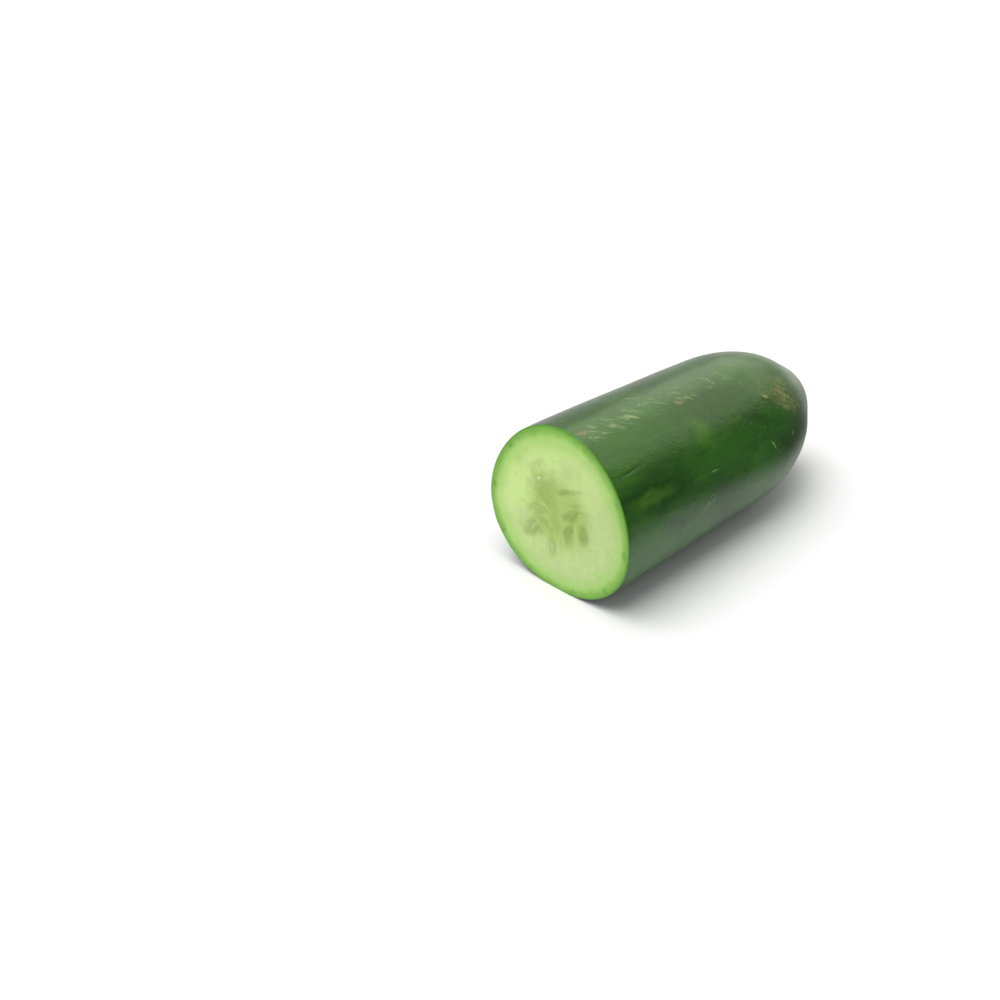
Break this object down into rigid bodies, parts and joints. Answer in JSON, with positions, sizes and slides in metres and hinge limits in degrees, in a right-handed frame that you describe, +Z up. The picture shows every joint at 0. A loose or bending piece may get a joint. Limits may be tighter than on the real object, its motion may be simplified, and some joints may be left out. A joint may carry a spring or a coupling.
{
  "type": "cucumber half",
  "caption": "Cut half of a slicing cucumber with a rounded blossom end and one flat cut face, lying on its side on a surface.",
  "frame": {"origin": "under the middle of the piece, on the surface it lies on", "axes": "+X along the fruit from the cut to the blossom end, +Z up"},
  "size_m": [0.1086, 0.0496, 0.0501],
  "materials": {
    "cucumber": "waxy dark green skin, pale green wet flesh on the cut"
  },
  "bodies": {
    "root": {"cucumber": "cucumber"}
  },
  "joints": []
}
